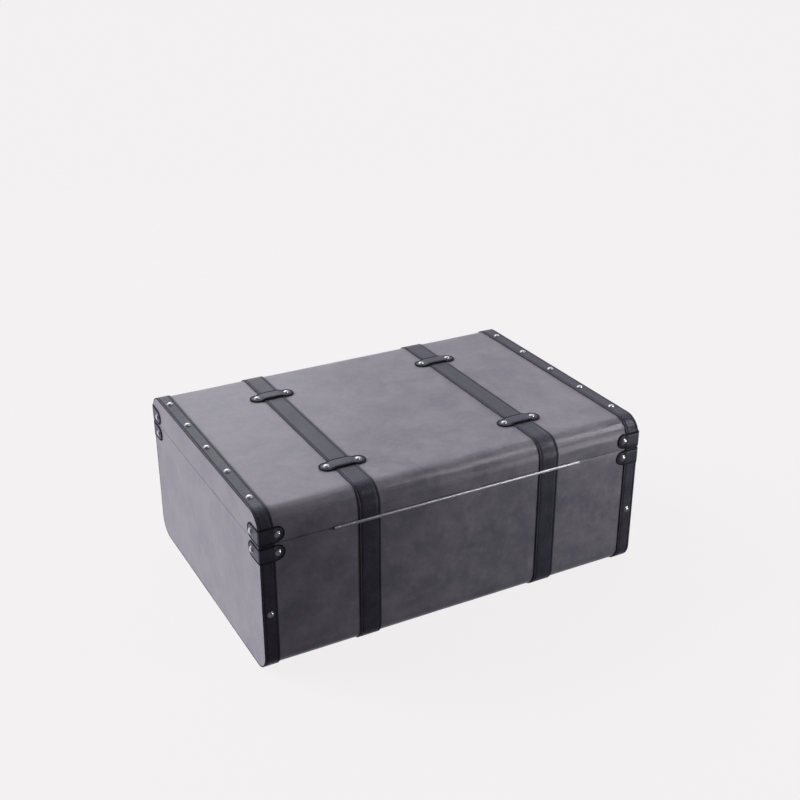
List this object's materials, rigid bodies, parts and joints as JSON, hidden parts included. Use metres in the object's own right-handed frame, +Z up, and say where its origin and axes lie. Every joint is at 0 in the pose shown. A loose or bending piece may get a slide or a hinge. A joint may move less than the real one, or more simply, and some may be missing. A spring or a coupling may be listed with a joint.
{
  "type": "steamer trunk",
  "caption": "Flat-topped steamer trunk in grey leatherette with dark strap and stud trim, a hinged lid, two buckled closing straps and a swinging front handle.",
  "frame": {"origin": "bottom centre of the whole object's box, on the surface that the trunk stands on", "axes": "+X along the trunk towards its right end as seen from the front, -Y the front with the handle and the closing straps, +Y the back with the hinge, +Z up"},
  "size_m": [0.669, 0.4861, 0.2699],
  "materials": {
    "covering": "mottled grey bonded leatherette, satin with a soft gloss on its rounded edges",
    "trim_leather": "dark charcoal leather, satin, stitched near both edges",
    "nickel": "polished nickel plate",
    "board": "raw fibreboard and softwood, hidden by the covering and the lining",
    "lining": "matt black brushed cloth"
  },
  "bodies": {
    "base": {"base_end_panel_left": "board", "base_end_panel_right": "board", "base_front_panel": "board", "base_back_panel": "board", "base_front_corner_moulding": "board", "base_back_corner_moulding": "board", "base_bottom_panel": "board", "base_wrap_covering": "covering", "base_end_covering_left": "covering", "base_end_covering_right": "covering", "base_lining": "lining", "base_edge_trim_left": "trim_leather", "base_edge_trim_right": "trim_leather", "base_corner_tab_front_left": "trim_leather", "base_corner_tab_front_right": "trim_leather", "base_corner_tab_back_left": "trim_leather", "base_corner_tab_back_right": "trim_leather", "base_strap_left": "trim_leather", "base_strap_right": "trim_leather", "hinge_base_leaf": "nickel", "hinge_pin": "nickel", "closure_magnet_left": "nickel", "closure_magnet_right": "nickel", "handle_bracket_left": "nickel", "handle_bracket_right": "nickel", "handle_pin_left": "nickel", "handle_pin_right": "nickel"},
    "lid": {"lid_end_panel_left": "board", "lid_end_panel_right": "board", "lid_front_rail": "board", "lid_back_rail": "board", "lid_top_panel": "board", "lid_wrap_covering": "covering", "lid_end_covering_left": "covering", "lid_end_covering_right": "covering", "lid_lining": "lining", "lid_edge_trim_left": "trim_leather", "lid_edge_trim_right": "trim_leather", "lid_corner_tab_front_left": "trim_leather", "lid_corner_tab_front_right": "trim_leather", "lid_corner_tab_back_left": "trim_leather", "lid_corner_tab_back_right": "trim_leather", "lid_strap_left": "trim_leather", "lid_strap_right": "trim_leather", "front_keeper_left": "trim_leather", "front_keeper_right": "trim_leather", "back_keeper_left": "trim_leather", "back_keeper_right": "trim_leather", "hinge_lid_leaf": "nickel"},
    "closing_strap_left": {"closing_strap_left": "trim_leather", "magnet_plate_left": "nickel", "buckle_frame_left": "nickel", "buckle_prong_left": "nickel"},
    "closing_strap_right": {"closing_strap_right": "trim_leather", "magnet_plate_right": "nickel", "buckle_frame_right": "nickel", "buckle_prong_right": "nickel"},
    "handle": {"handle_cap_left": "nickel", "handle_cap_right": "nickel", "handle_grip": "trim_leather"}
  },
  "joints": [
    {"name": "lid_hinge", "type": "hinge", "parent": "base", "child": "lid", "pos_m": [0, 0.2388, 0.2175], "axis": [-1, 0, 0], "range_deg": [0, 105]},
    {"name": "closing_strap_left_flex", "type": "hinge", "parent": "lid", "child": "closing_strap_left", "pos_m": [-0.1565, -0.2313, 0.218], "axis": [-1, 0, 0], "range_deg": [0, 110]},
    {"name": "closing_strap_right_flex", "type": "hinge", "parent": "lid", "child": "closing_strap_right", "pos_m": [0.1565, -0.2313, 0.218], "axis": [-1, 0, 0], "range_deg": [0, 110]},
    {"name": "handle_swing", "type": "hinge", "parent": "base", "child": "handle", "pos_m": [0, -0.236, 0.16], "axis": [-1, 0, 0], "range_deg": [0, 95]}
  ]
}
